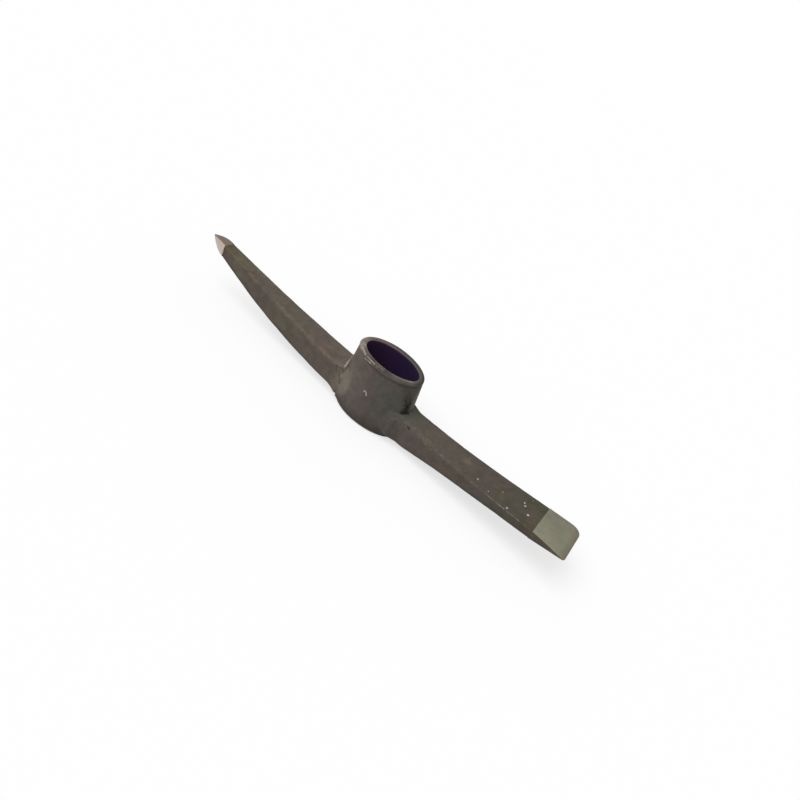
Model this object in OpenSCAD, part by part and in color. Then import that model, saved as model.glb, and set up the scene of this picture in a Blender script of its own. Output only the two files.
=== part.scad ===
// Head of a pick: an oval handle socket with a pick arm on one side and a chisel arm on the other.
// The socket stands on its flat belly at z = 0 with its collar up, and the chisel arm points along +X.
// Both arms are welded to the socket, and both carry a ground steel tip held by a tang.

/* [Eye socket] */
// Inside length of the oval eye at the collar rim
eye_long = 66; // [58:0.5:74]
// Inside width of the oval eye at the collar rim
eye_wide = 41; // [36:0.5:46]
// How much longer and wider the eye is at the belly mouth than at the rim
eye_flare = 4; // [0:0.5:6]
// Wall at the pick end of the oval, at the rim
pick_end_wall = 7.5; // [5.5:0.25:9]
// Wall at the chisel end of the oval, at the rim
chisel_end_wall = 6.5; // [5.5:0.25:9]
// Wall at both sides of the oval, at the rim
side_wall = 8.1; // [7:0.1:10]
// How far the pick end of the collar leans out from the rim to its foot
pick_lean = 0.5; // [0:0.25:4]
// How far the chisel end of the collar leans out from the rim to its foot
chisel_lean = 5.25; // [0:0.25:8]
// Height of the collar's foot, below which the socket's wall is upright
collar_foot = 37; // [30:0.5:44]
// Height of the socket from its belly to the collar rim
socket_h = 75; // [66:0.5:90]
// Radius of the outer edge of the collar rim
rim_r = 3; // [1:0.25:4]
// Radius of the outer edge of the belly
belly_r = 3; // [1:0.25:4]
// Bevel of the inner edge at both mouths of the eye
mouth_bevel = 1; // [0.5:0.25:2]

/* [Pick arm] */
// Reach of the pick point from the middle of the eye
pick_reach = 265; // [220:1:310]
// Width of the pick arm at its root
pick_root_w = 37; // [30:0.2:42]
// Height of the top face at the root, above the belly
pick_root_top = 37; // [32:0.2:42]
// Height of the bottom face at the root, above the belly
pick_root_bottom = 8; // [5:0.2:14]
// Width of the pick arm where the ground point starts
pick_end_w = 15.4; // [11:0.2:20]
// Height of the top face where the ground point starts
pick_end_top = 54.4; // [48:0.1:62]
// Height of the bottom face where the ground point starts
pick_end_bottom = 40.4; // [34:0.2:43]
// How far the top face hangs below a straight line at mid arm
pick_top_dip = 1.9; // [0:0.1:4]
// How far the bottom face hangs below a straight line at mid arm
pick_bottom_dip = 6.2; // [0:0.1:10]
// Corner radius of the arm at its root
pick_root_r = 5; // [2:0.5:11]
// Corner radius of the arm where the ground point starts
pick_end_r = 1.2; // [0.4:0.1:4]

/* [Pick point] */
// Length of the ground point
point_len = 24; // [16:0.5:36]
// Height of the tip above the belly
point_tip_z = 52.7; // [46:0.1:58]
// Width left flat at the very tip
point_tip_w = 1; // [0.4:0.1:3]
// Length of the tang inside the pick arm
point_tang_len = 14; // [8:0.5:18]
// Side of the square tang
point_tang_w = 5; // [3:0.25:6]

/* [Chisel arm] */
// Reach of the cutting edge from the middle of the eye
chisel_reach = 253.5; // [210:0.5:300]
// Width of the chisel arm at its root
chisel_root_w = 34.6; // [28:0.2:40]
// Height of the top face at the root, above the belly
chisel_root_top = 36.4; // [32:0.1:42]
// Height of the bottom face at the root, above the belly
chisel_root_bottom = 5; // [4:0.1:12]
// Width of the chisel arm where the bit starts
chisel_end_w = 49; // [36:0.2:60]
// Height of the top face where the bit starts
chisel_end_top = 40.4; // [36:0.1:48]
// Height of the bottom face where the bit starts
chisel_end_bottom = 30.7; // [24:0.1:32]
// How far the top face hangs below a straight line at mid arm
chisel_top_dip = 2.6; // [0:0.1:4]
// How far the bottom face bows up above a straight line at mid arm
chisel_bottom_bow = 1.6; // [0:0.1:4]
// Corner radius of the arm at its root
chisel_root_r = 6; // [2:0.5:12]
// Corner radius of the arm where the bit starts
chisel_end_r = 1.2; // [0.4:0.1:3]

/* [Chisel bit] */
// Length of the ground bit
bit_len = 38.5; // [26:0.5:56]
// Width across the cutting edge, before its corners are rounded
edge_w = 57; // [40:0.5:70]
// Height of the cutting edge above the belly
edge_z = 41.5; // [36:0.1:48]
// Thickness left at the cutting edge
edge_t = 1.2; // [0.4:0.1:3]
// Radius of the corner of the edge on the +Y side
left_corner_r = 12; // [2:0.5:16]
// Radius of the corner of the edge on the -Y side
right_corner_r = 4; // [1:0.5:16]
// Length of the tang inside the chisel arm
bit_tang_len = 16; // [8:0.5:22]
// Width of the tang
bit_tang_w = 28; // [16:0.5:34]
// Thickness of the tang
bit_tang_t = 3.5; // [2:0.25:5]

/* [Joints] */
// Thickness of weld metal between the socket and an arm
weld_t = 2.5; // [1.5:0.1:5]
// How far a weld stands proud of the arm's root
bead_proud = 0.8; // [0.2:0.1:1.6]
// Length over which the pick arm runs out from its weld to its plain section
pick_runout = 12; // [6:0.5:18]
// Length over which the chisel arm runs out from its weld to its plain section
chisel_runout = 12; // [6:0.5:18]
// How far the pick arm's sides spread where they meet the weld
pick_side_spread = 4; // [0:0.25:5]
// How far the pick arm's top spreads where it meets the weld
pick_top_spread = 1.5; // [0:0.25:5]
// How far the pick arm's bottom spreads where it meets the weld
pick_bottom_spread = 4; // [0:0.25:5]
// How far the chisel arm's sides spread where they meet the weld
chisel_side_spread = 4.5; // [0:0.25:6]
// How far the chisel arm's top spreads where it meets the weld
chisel_top_spread = 1.5; // [0:0.25:5]
// Film of braze round a tang in its pocket
braze_film = 0.1; // [0.05:0.01:0.3]
// Air between a curved face and the weld or arm that seats on it
seat_gap = 0.15; // [0.05:0.01:0.3]

/* [Hidden] */

forge_finish = "#57514a";
weld_finish = "#6a625a";
ground_steel = "#9a968a";

// Steps of the curved surfaces
oval_steps = 80;
corner_steps = 5;
side_steps = 8;
arm_steps = 18;
runout_steps = 5;
seat_steps = 10;
edge_steps = 6;
// Part of the root outline that the first ring of a seat covers
seat_core_share = 0.06;
// One overrun serves all cuts and crossed outlines
overrun = 5;

// Half length and half width of the eye, at the rim and at the belly
eye_rim = [eye_long, eye_wide] / 2;
eye_belly = eye_rim + [eye_flare, eye_flare] / 2;

// Half length and half width of the socket's outside towards each arm, at the foot and at the rim
pick_rim = eye_rim + [pick_end_wall, side_wall];
chisel_rim = eye_rim + [chisel_end_wall, side_wall];
pick_foot = pick_rim + [pick_lean, 0];
chisel_foot = chisel_rim + [chisel_lean, 0];
pick_wall = [pick_foot, pick_rim];
chisel_wall = [chisel_foot, chisel_rim];

// Where the arms take their plain section and where their tips start
pick_root_x = pick_foot.x + weld_t + pick_runout;
chisel_root_x = chisel_foot.x + weld_t + chisel_runout;
pick_end_x = pick_reach - point_len;
chisel_end_x = chisel_reach - bit_len;
point_mid_z = (pick_end_top + pick_end_bottom) / 2;
bit_mid_z = (chisel_end_top + chisel_end_bottom) / 2;

function mix(a, b, s) = a + (b - a) * s;

// A straight run from a to b that hangs by dip at its middle
function hung(a, b, dip, s) = mix(a, b, s) - 4 * dip * s * (1 - s);

function arc(centre, r, from, to) = [
    for (k = [0:edge_steps])
        let (a = mix(from, to, k / edge_steps))
        centre + r * [cos(a), sin(a)]
];

// Distance along X from the eye's axis to the socket's outer face at one end, moved out by gap
function socket_face(y, z, gap, wall) =
    let (
        rise_share = max(0, z - collar_foot) / (socket_h - rim_r - collar_foot),
        half = mix(wall[0], wall[1], rise_share) + [gap, gap],
        share = y / half.y
    )
    half.x * sqrt(max(0, 1 - share * share));

// One level of an oval tube, with a half of its own towards each arm
function oval_ring(pick_half, chisel_half, z) = [
    for (k = [0:oval_steps - 1])
        let (
            a = 360 * k / oval_steps,
            half = cos(a) > 0 ? chisel_half : pick_half
        )
        [half.x * cos(a), half.y * sin(a), z]
];

// The levels of a rounded outer edge, from angle to angle, where 0 is its widest level
function edge_rings(pick_half, chisel_half, z, r, from, to) = [
    for (p = arc([0, z], r, from, to))
        let (inset = [p.x - r, p.x - r])
        oval_ring(pick_half + inset, chisel_half + inset, p.y)
];

// Points [y, z] round a rectangle with rounded corners
function bar_section(half_w, top, bottom, radius) =
    let (
        r = min(radius, half_w, (top - bottom) / 2),
        corners = [
            [half_w - r, top - r],
            [r - half_w, top - r],
            [r - half_w, bottom + r],
            [half_w - r, bottom + r]
        ]
    )
    [
        for (c = [0:3])
            let (
                turn = [for (k = [0:corner_steps]) 90 * (c + k / corner_steps)],
                here = corners[c],
                next = corners[(c + 1) % 4],
                normal = [cos(turn[corner_steps]), sin(turn[corner_steps])]
            )
            each concat(
                [for (a = turn) here + r * [cos(a), sin(a)]],
                [for (k = [1:side_steps - 1]) mix(here, next, k / side_steps) + r * normal]
            )
    ];

// A section standing square to X
function flat_ring(section, x) = [for (p = section) [x, p.x, p.y]];

// A section pressed against the socket's outer face
function seated_ring(section, gap, wall) = [
    for (p = section) [socket_face(p.x, p.y, gap, wall), p.x, p.y]
];

function middle(ring) = [for (i = [0:2]) sum([for (p = ring) p[i]]) / len(ring)];

function sum(list, i = 0) = i < len(list) ? list[i] + sum(list, i + 1) : 0;

// The rings of a seat, from its core out to its full outline
function seat_rings(section, gap, wall) =
    let (core = [sum([for (p = section) p.x]), sum([for (p = section) p.y])] / len(section))
    [
        for (k = [0:seat_steps - 1])
            let (share = mix(seat_core_share, 1, k / seat_steps))
            seated_ring([for (p = section) mix(core, p, share)], gap, wall)
    ];

// A hollow curve from the seat, through the foot of the plain section, to the plain section
function runout_ring(seat, foot, plain, u) = [
    for (i = [0:len(seat) - 1])
        mix(mix(seat[i], foot[i], u), mix(foot[i], plain[i], u), u)
];

function reversed(list) = [for (i = [len(list) - 1:-1:0]) list[i]];

// Triangles between ring a and ring b of n points each
function strip(n, a, b) = [
    for (i = [0:n - 1])
        let (next = (i + 1) % n)
        each [
            [a * n + i, b * n + i, b * n + next],
            [a * n + i, b * n + next, a * n + next]
        ]
];

// A solid skin over a row of rings, closed at both ends
module loft(rings) {
    n = len(rings[0]);
    last = len(rings) - 1;
    start_hub = n * len(rings);
    end_hub = start_hub + 1;
    points = concat([for (ring = rings) each ring], [middle(rings[0]), middle(rings[last])]);
    faces = concat(
        [for (i = [0:n - 1]) [start_hub, i, (i + 1) % n]],
        [for (i = [0:n - 1]) [end_hub, last * n + (i + 1) % n, last * n + i]],
        [for (j = [0:last - 1]) each strip(n, j, j + 1)]
    );
    polyhedron(points, faces);
}

// A solid skin over a row of rings whose last ring joins its first, as round a tube's wall
module tube(rings) {
    n = len(rings[0]);
    count = len(rings);
    polyhedron(
        [for (ring = rings) each ring],
        [for (j = [0:count - 1]) each strip(n, j, (j + 1) % count)]
    );
}

// Sections of the two arms at share s of the way from root to tip, spread at the sides, top and bottom
function pick_section(s, side, up, down) = bar_section(
    mix(pick_root_w, pick_end_w, s) / 2 + side,
    hung(pick_root_top, pick_end_top, pick_top_dip, s) + up,
    hung(pick_root_bottom, pick_end_bottom, pick_bottom_dip, s) - down,
    mix(pick_root_r, pick_end_r, s) + min(side, up)
);

function chisel_section(s, side, up) = bar_section(
    mix(chisel_root_w, chisel_end_w, s) / 2 + side,
    hung(chisel_root_top, chisel_end_top, chisel_top_dip, s) + up,
    hung(chisel_root_bottom, chisel_end_bottom, -chisel_bottom_bow, s),
    mix(chisel_root_r, chisel_end_r, s) + min(side, up)
);

// An arm from its seat on the weld, through the hollow run-out, to its flat end
module arm(spread, plain, stations, root_x, end_x, wall) {
    gap = weld_t + seat_gap;
    seat = seated_ring(spread, gap, wall);
    foot = seated_ring(plain, gap, wall);
    root = flat_ring(plain, root_x);
    loft(concat(
        seat_rings(spread, gap, wall),
        [for (k = [0:runout_steps - 1]) runout_ring(seat, foot, root, k / runout_steps)],
        [for (k = [0:arm_steps]) flat_ring(stations[k], mix(root_x, end_x, k / arm_steps))]
    ));
}

// Weld metal between the socket and an arm, proud of the arm's root by a rounded bead
module weld(spread, bead, wall) {
    loft(concat(
        seat_rings(bead, seat_gap, wall),
        [seated_ring(bead, seat_gap, wall)],
        [seated_ring(bead, weld_t / 2, wall)],
        [seated_ring(spread, weld_t, wall)],
        reversed(seat_rings(spread, weld_t, wall))
    ));
}

// A box along X, centred on Y and on a height
module tang(from_x, length, width, height, mid_z) {
    translate([from_x, -width / 2, mid_z - height / 2])
        cube([length, width, height]);
}

// An outline in X and Z, drawn right through the part's width
module across(half_w) {
    translate([0, half_w, 0])
        rotate([90, 0, 0])
            linear_extrude(2 * half_w)
                children();
}

// A slab that saws the socket off flat
module saw_cut(z) {
    low = pick_foot + [overrun, overrun];
    high = chisel_foot + [overrun, overrun];
    translate([-low.x, -low.y, z])
        cube([low.x + high.x, low.y + high.y, 2 * overrun]);
}

module eye_socket() {
    bevel = [mouth_bevel, mouth_bevel];
    belly_inset = [belly_r, belly_r];
    rim_inset = [rim_r, rim_r];
    eye_mouth = eye_rim + bevel;
    belly_mouth = eye_belly + bevel;
    color(forge_finish)
        difference() {
            tube(concat(
                [oval_ring(pick_foot - belly_inset, chisel_foot - belly_inset, -overrun)],
                edge_rings(pick_foot, chisel_foot, belly_r, belly_r, -90, 0),
                [oval_ring(pick_foot, chisel_foot, collar_foot)],
                edge_rings(pick_rim, chisel_rim, socket_h - rim_r, rim_r, 0, 90),
                [oval_ring(pick_rim - rim_inset, chisel_rim - rim_inset, socket_h + overrun)],
                [oval_ring(eye_mouth, eye_mouth, socket_h + overrun)],
                [oval_ring(eye_mouth, eye_mouth, socket_h)],
                [oval_ring(eye_rim, eye_rim, socket_h - mouth_bevel)],
                [oval_ring(eye_belly, eye_belly, mouth_bevel)],
                [oval_ring(belly_mouth, belly_mouth, 0)],
                [oval_ring(belly_mouth, belly_mouth, -overrun)]
            ));
            saw_cut(socket_h);
            saw_cut(-2 * overrun);
        }
}

module pick_arm() {
    color(forge_finish)
        mirror([1, 0, 0])
            difference() {
                arm(
                    pick_section(0, pick_side_spread, pick_top_spread, pick_bottom_spread),
                    pick_section(0, 0, 0, 0),
                    [for (k = [0:arm_steps]) pick_section(k / arm_steps, 0, 0, 0)],
                    pick_root_x,
                    pick_end_x,
                    pick_wall
                );
                tang(
                    pick_end_x - point_tang_len - braze_film,
                    point_tang_len + braze_film + overrun,
                    point_tang_w + 2 * braze_film,
                    point_tang_w + 2 * braze_film,
                    point_mid_z
                );
            }
}

module pick_point() {
    // The four ground faces bulge a little: each runs in to the tip on an outward curve
    half_h = (pick_end_top - pick_end_bottom) / 2;
    shares = [for (k = [0:edge_steps]) k / edge_steps];
    plan = [for (s = shares) [pick_end_x + s * point_len, mix(pick_end_w, point_tip_w, s * s) / 2]];
    rise = [for (s = shares) mix(half_h, point_tip_w / 2, s * s)];
    spine = [for (s = shares) mix(point_mid_z, point_tip_z, s)];
    upper = [for (k = [0:edge_steps]) [plan[k].x, spine[k] + rise[k]]];
    lower = [for (k = [0:edge_steps]) [plan[k].x, spine[k] - rise[k]]];
    color(ground_steel)
        mirror([1, 0, 0])
            union() {
                intersection() {
                    translate([0, 0, pick_end_bottom - overrun])
                        linear_extrude(pick_end_top - pick_end_bottom + 2 * overrun)
                            polygon(concat(plan, [for (p = reversed(plan)) [p.x, -p.y]]));
                    across(pick_end_w)
                        polygon(concat(upper, reversed(lower)));
                }
                tang(
                    pick_end_x - point_tang_len,
                    point_tang_len + overrun,
                    point_tang_w,
                    point_tang_w,
                    point_mid_z
                );
            }
}

module chisel_arm() {
    color(forge_finish)
        difference() {
            arm(
                chisel_section(0, chisel_side_spread, chisel_top_spread),
                chisel_section(0, 0, 0),
                [for (k = [0:arm_steps]) chisel_section(k / arm_steps, 0, 0)],
                chisel_root_x,
                chisel_end_x,
                chisel_wall
            );
            tang(
                chisel_end_x - bit_tang_len - braze_film,
                bit_tang_len + braze_film + overrun,
                bit_tang_w + 2 * braze_film,
                bit_tang_t + 2 * braze_film,
                bit_mid_z
            );
        }
}

module chisel_bit() {
    plan = concat(
        [[chisel_end_x, chisel_end_w / 2], [chisel_end_x, -chisel_end_w / 2]],
        arc([chisel_reach - right_corner_r, right_corner_r - edge_w / 2], right_corner_r, -90, 0),
        arc([chisel_reach - left_corner_r, edge_w / 2 - left_corner_r], left_corner_r, 0, 90)
    );
    wedge = [
        [chisel_end_x, chisel_end_bottom],
        [chisel_reach, edge_z - edge_t],
        [chisel_reach, edge_z],
        [chisel_end_x, chisel_end_top]
    ];
    color(ground_steel)
        union() {
            intersection() {
                translate([0, 0, chisel_end_bottom - overrun])
                    linear_extrude(edge_z - chisel_end_bottom + 2 * overrun)
                        polygon(plan);
                across(edge_w)
                    polygon(wedge);
            }
            tang(chisel_end_x - bit_tang_len, bit_tang_len + overrun, bit_tang_w, bit_tang_t, bit_mid_z);
        }
}

module pick_weld() {
    color(weld_finish)
        mirror([1, 0, 0])
            weld(
                pick_section(0, pick_side_spread, pick_top_spread, pick_bottom_spread),
                pick_section(
                    0,
                    pick_side_spread + bead_proud,
                    pick_top_spread + bead_proud,
                    pick_bottom_spread
                ),
                pick_wall
            );
}

module chisel_weld() {
    color(weld_finish)
        weld(
            chisel_section(0, chisel_side_spread, chisel_top_spread),
            chisel_section(0, chisel_side_spread + bead_proud, chisel_top_spread + bead_proud),
            chisel_wall
        );
}

eye_socket();
pick_arm();
pick_point();
chisel_arm();
chisel_bit();
pick_weld();
chisel_weld();
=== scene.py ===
from math import cos, hypot, radians, sin, sqrt

import bmesh
import bpy
from mathutils import Matrix, Vector


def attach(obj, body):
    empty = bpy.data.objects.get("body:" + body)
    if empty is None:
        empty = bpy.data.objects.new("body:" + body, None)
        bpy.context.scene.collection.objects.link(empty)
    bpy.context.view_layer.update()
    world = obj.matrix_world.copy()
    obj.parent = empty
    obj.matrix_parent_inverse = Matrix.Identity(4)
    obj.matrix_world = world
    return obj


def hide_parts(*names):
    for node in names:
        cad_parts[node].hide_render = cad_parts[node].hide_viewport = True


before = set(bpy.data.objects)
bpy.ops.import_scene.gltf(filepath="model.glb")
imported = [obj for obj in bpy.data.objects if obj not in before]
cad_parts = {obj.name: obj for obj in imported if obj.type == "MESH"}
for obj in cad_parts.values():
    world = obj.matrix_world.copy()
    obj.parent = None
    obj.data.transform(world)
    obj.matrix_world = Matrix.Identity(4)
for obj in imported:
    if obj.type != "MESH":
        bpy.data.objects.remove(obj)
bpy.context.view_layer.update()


# EYE SOCKET
# The oval tube that the handle jams in, drop forged with a thick wall and a rounded collar lip.
# A thin dark lacquer covers the forge scale outside, and handling has rubbed it off along the lip.
# The eye's inner wall is an even, very dark blue-black, with painted light towards its pick end.

mm = 0.001


def clear_bench():
    """Leaves nothing selected, so that the next operator acts on the new piece alone."""
    bpy.ops.object.select_all(action="DESELECT")


def choose(kind, test):
    """Selects in edit mode only the verts, edges or faces whose middle, in mm, passes the test."""
    bpy.ops.mesh.select_mode(type={"verts": "VERT", "edges": "EDGE", "faces": "FACE"}[kind])
    bpy.ops.mesh.select_all(action="DESELECT")
    mesh = bmesh.from_edit_mesh(bpy.context.object.data)
    for item in getattr(mesh, kind):
        corners = [item] if kind == "verts" else item.verts
        middle = sum((c.co for c in corners), Vector()) / len(corners) / mm
        item.select_set(bool(test(middle)))
    mesh.select_flush_mode()
    bmesh.update_edit_mesh(bpy.context.object.data)


def finish_with(piece, kind, **settings):
    """Adds one modifier with its settings and applies it."""
    modifier = piece.modifiers.new(kind.lower(), kind)
    for name, value in settings.items():
        setattr(modifier, name, value)
    bpy.context.view_layer.objects.active = piece
    bpy.ops.object.modifier_apply(modifier=modifier.name)


def ease(value, low, high):
    """0 below low, 1 above high and a soft step between."""
    share = min(1, max(0, (value - low) / (high - low)))
    return share * share * (3 - 2 * share)


def weigh(piece, name, amount):
    """A vertex group that says how strongly a later modifier acts at each point, given in mm."""
    group = piece.vertex_groups.new(name=name)
    for vertex in piece.data.vertices:
        group.add([vertex.index], amount(vertex.co / mm), "REPLACE")


def mark(piece, name, amount):
    """Stores on the surface how worn, grimy, tinted or painted with light or shade each point,
    given in mm, is.
    """
    values = piece.data.attributes.new(name, "FLOAT", "POINT")
    for vertex, value in zip(piece.data.vertices, values.data):
        value.value = amount(vertex.co / mm)


def unevenness(name, size):
    """A cloudy height pattern whose lumps are about this many mm across."""
    pattern = bpy.data.textures.new(name, "CLOUDS")
    pattern.noise_scale = size * mm
    pattern.noise_depth = 2
    return pattern


def roughen(piece, pattern, height, where, level=0.5, **settings):
    """Raises and sinks the surface by a pattern, in mm, as strongly as a vertex group says."""
    finish_with(piece, "DISPLACE", texture=pattern, strength=height * mm, mid_level=level,
                vertex_group=where, **settings)


# In mm: half the wall's length towards the pick and towards the chisel, half its width, the
# belly's corner radius, where the collar begins to lean in, the rim, and the roll of the lip
wall_pick, wall_chisel, wall_side = 41, 44.75, 28.6
belly_r, collar_foot, rim = 4, 37, 75
lip_out, lip_up = 3.3, 3
# Half the eye's length and width where its taper begins, and what each gains in every step down
eye_half_long, eye_half_wide, eye_top = 33.1, 20.6, 73.2
eye_gain, eye_step = 0.19, 7.2

# Half length towards the pick, half length towards the chisel, half width and height of each ring:
# out over the belly, up the wall, in along the collar, over the lip and down the tapered eye
rings = [(36, 36, 23.5, 0)]
for turn in range(0, 91, 15):
    out, up = belly_r * sin(radians(turn)), belly_r - belly_r * cos(radians(turn))
    rings.append((wall_pick - belly_r + out, wall_chisel - belly_r + out,
                  wall_side - belly_r + out, up))
for z in range(8, collar_foot, 4):
    rings.append((wall_pick, wall_chisel, wall_side, z))
for step in range(10):
    rings.append((wall_pick - 0.06 * step, wall_chisel - 0.5 * step, wall_side - 0.03 * step,
                  collar_foot + 3.3 * step))
rings.append((40.0, 39.6, 28.0, 69.8))
for turn in range(0, 91, 15):
    out, up = lip_out * cos(radians(turn)), lip_up * sin(radians(turn))
    rings.append((36.4 + 1.33 * out, 36 + 1.1 * out, 25.6 + out, rim - lip_up + up))
rings += [(35.8, 35.4, 23.7, rim), (34.5, 34.3, 22.1, 74.7), (33.6, 33.6, 21.1, 74.1),
          (eye_half_long, eye_half_long, eye_half_wide, eye_top)]
for step in range(1, 11):
    half_long, half_wide = eye_half_long + eye_gain * step, eye_half_wide + eye_gain * step
    rings.append((half_long, half_long, half_wide, eye_top - eye_step * step))
rings.append(rings[0])

clear_bench()
bpy.ops.mesh.primitive_circle_add(vertices=96, radius=rings[0][0] * mm)
socket = bpy.context.object
socket.name = "eye_socket_forged"
bpy.ops.object.mode_set(mode="EDIT")
bpy.ops.transform.resize(value=(1, rings[0][2] / rings[0][0], 1), center_override=(0, 0, 0))
for (a0, _, b0, z0), (a1, _, b1, z1) in zip(rings, rings[1:]):
    bpy.ops.mesh.extrude_edges_move(TRANSFORM_OT_translate={"value": (0, 0, (z1 - z0) * mm)})
    bpy.ops.transform.resize(value=(a1 / a0, b1 / b0, 1), center_override=(0, 0, z1 * mm))
bpy.ops.mesh.select_all(action="SELECT")
bpy.ops.mesh.remove_doubles(threshold=0.01 * mm)
bpy.ops.mesh.normals_make_consistent(inside=False)
# The end towards the chisel is drawn out further than the end towards the pick
for pick_half, chisel_half, width, height in rings:
    if pick_half != chisel_half:
        choose("verts", lambda p: p.x > 0.01 and abs(p.z - height) < 0.01
               and abs(hypot(p.x / pick_half, p.y / width) - 1) < 0.002)
        bpy.ops.transform.resize(value=(chisel_half / pick_half, 1, 1), center_override=(0, 0, 0))
bpy.ops.object.mode_set(mode="OBJECT")
finish_with(socket, "SUBSURF", levels=2, render_levels=2)


def inside_eye(p):
    """Whether a point lies on the eye's own wall, and not outside or on the lip."""
    return (p.x / 37) ** 2 + (p.y / 24.4) ** 2 < 1


def strip_on_collar(p):
    """How near a point is to the rough run of scale down the chisel end of the collar."""
    middle_y = -8.6 - 7 * ease(p.z, 48, 72)
    across = abs(p.y - middle_y) / (5.2 - 1.6 * ease(p.z, 46, 66))
    down = (ease(p.z, 35, 38) * (1 - 0.62 * ease(p.z, 50, 62)) * (1 - 0.5 * ease(p.z, 64, 71))
            * ease(72 - p.z, 0, 2))
    return 0 if p.x < 20 or inside_eye(p) else 0.78 * ease(1.3 - across, 0, 0.8) * down


# Hammer marks on the outside only, and ragged pits in the strip
weigh(socket, "outside", lambda p: ease(p.z, 2.5, 9) * (
    0.15 if inside_eye(p) else 1 - 0.6 * ease(p.z, 66, 72)))
weigh(socket, "strip_depth", strip_on_collar)
hammer_marks = unevenness("hammer marks", 26)
forge_scale = unevenness("forge scale", 5)
roughen(socket, hammer_marks, 0.9, "outside")
roughen(socket, forge_scale, 0.14, "outside")
roughen(socket, unevenness("scale pits", 2.2), 2.2, "strip_depth", level=0.95)


def linear(code):
    """An sRGB hex colour as linear red, green, blue and alpha."""
    parts = [int(code[i:i + 2], 16) / 255 for i in (1, 3, 5)]
    return [c / 12.92 if c <= 0.04045 else ((c + 0.055) / 1.055) ** 2.4 for c in parts] + [1]


def add(tree, kind, inputs={}, stops=(), **settings):
    """Adds a node with its settings and colour stops, and links or sets each named input."""
    node = tree.nodes.new(kind)
    for name, value in settings.items():
        setattr(node, name, value)
    for name, value in inputs.items():
        if isinstance(value, bpy.types.NodeSocket):
            tree.links.new(value, node.inputs[name])
        else:
            node.inputs[name].default_value = value
    for k, (position, colour) in enumerate(stops):
        if k > 1:
            node.color_ramp.elements.new(position)
        node.color_ramp.elements[k].position = position
        node.color_ramp.elements[k].color = colour
    return node


def grey(value):
    """An even grey, from 0 for black to 1 for white."""
    return [value, value, value, 1]


def start_finish(name):
    """A new material and its emptied tree."""
    finish = bpy.data.materials.new(name)
    finish.use_nodes = True
    finish.node_tree.nodes.clear()
    return finish, finish.node_tree


# Lacquered forge steel: a satin coat a few hundredths thick over scale. It shifts between olive,
# brown and plum in patches some 30 mm wide, more plum where it stands upright, and it shows rust
# and bare steel where it is rubbed. It is paler in places, partly as painted highlight, darker as
# soil and painted shade in the low corners and the crevices, and black with grit and painted shade.
lacquer, tree = start_finish("forged steel, dark satin lacquer")
spot = add(tree, "ShaderNodeTexCoord")
place = spot.outputs["Object"]
along = add(tree, "ShaderNodeSeparateXYZ", {"Vector": place}).outputs["X"]
tip_x, edge_x = -265, 253.5  # the ends of the head, in mm: the pick's tip and the chisel's edge
head_share = add(tree, "ShaderNodeMapRange", {
    "Value": along, "From Min": tip_x * mm, "From Max": edge_x * mm}).outputs["Result"]
coat = add(tree, "ShaderNodeValToRGB", {"Fac": head_share}, [
    (0.05, linear("#554c3a")), (0.09, linear("#5f5948")), (0.15, linear("#5f584a")),
    (0.26, linear("#5b5449")), (0.40, linear("#62594f")), (0.45, linear("#6a6057")),
    (0.51, linear("#59524d")), (0.56, linear("#4f5148")), (0.61, linear("#575449")),
    (0.66, linear("#574f46")), (0.71, linear("#564e45")), (0.79, linear("#4f4941")),
    (0.87, linear("#4c483e")), (0.92, linear("#474432"))]).outputs["Color"]
facing = add(tree, "ShaderNodeSeparateXYZ", {"Vector": spot.outputs["Normal"]}).outputs["Z"]
upright = add(tree, "ShaderNodeMapRange", {
    "Value": facing, "From Min": 0.75, "From Max": 0.35, "To Min": 0.0,
    "To Max": 0.1}).outputs["Result"]
mottle = add(tree, "ShaderNodeTexNoise", {
    "Vector": place, "Scale": 1 / (32 * mm), "Detail": 4, "Roughness": 0.6}).outputs["Fac"]
plum = add(tree, "ShaderNodeMath", {0: mottle, 1: upright}, operation="ADD").outputs["Value"]
plum = add(tree, "ShaderNodeValToRGB", {"Fac": plum}, [
    (0.48, grey(0)), (0.66, grey(0.6))]).outputs["Color"]
coat = add(tree, "ShaderNodeMixRGB", {
    "Fac": plum, "Color1": coat, "Color2": linear("#584c4a")}).outputs["Color"]
# Paler tint, partly a painted highlight on the lip's rolled edge
tint_and_highlight = add(tree, "ShaderNodeAttribute", attribute_name="tint_and_highlight").outputs["Fac"]
coat = add(tree, "ShaderNodeMixRGB", {
    "Fac": tint_and_highlight, "Color1": coat, "Color2": linear("#7a7468")}).outputs["Color"]
# Darker with soil and with painted shade: in crevices, under the lip, on the strip, belly and
# undersides
soil_and_shade = add(tree, "ShaderNodeAttribute", attribute_name="soil_and_shade").outputs["Fac"]
coat = add(tree, "ShaderNodeMixRGB", {
    "Fac": soil_and_shade, "Color1": coat, "Color2": linear("#322f2b")}).outputs["Color"]
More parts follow.
